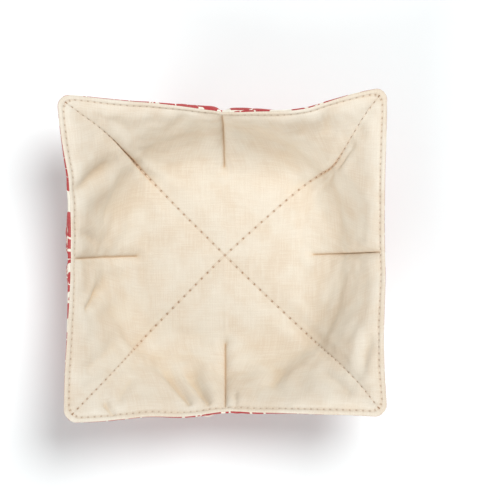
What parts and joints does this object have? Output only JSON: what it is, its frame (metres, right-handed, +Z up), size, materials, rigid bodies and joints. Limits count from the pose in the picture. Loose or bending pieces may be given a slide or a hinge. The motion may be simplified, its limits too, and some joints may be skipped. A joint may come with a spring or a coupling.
{
  "type": "bowl cozy",
  "caption": "Quilted cotton bowl cozy: a padded square with darted sides that stands up around a hot bowl as a soft dish with flared corners.",
  "frame": {"origin": "middle of the cozy's outline, on the surface that its flat base stands on", "axes": "+Z up, +X towards the side that the picture shows on the right, +Y towards the side it shows at the top"},
  "size_m": [0.1971, 0.1989, 0.0779],
  "materials": {
    "plain_cotton": "matt plain-weave cotton, cream",
    "printed_cotton": "matt plain-weave cotton, red print on a cream ground"
  },
  "bodies": {
    "root": {"inner_panel": "plain_cotton", "outer_panel": "printed_cotton"}
  },
  "joints": []
}
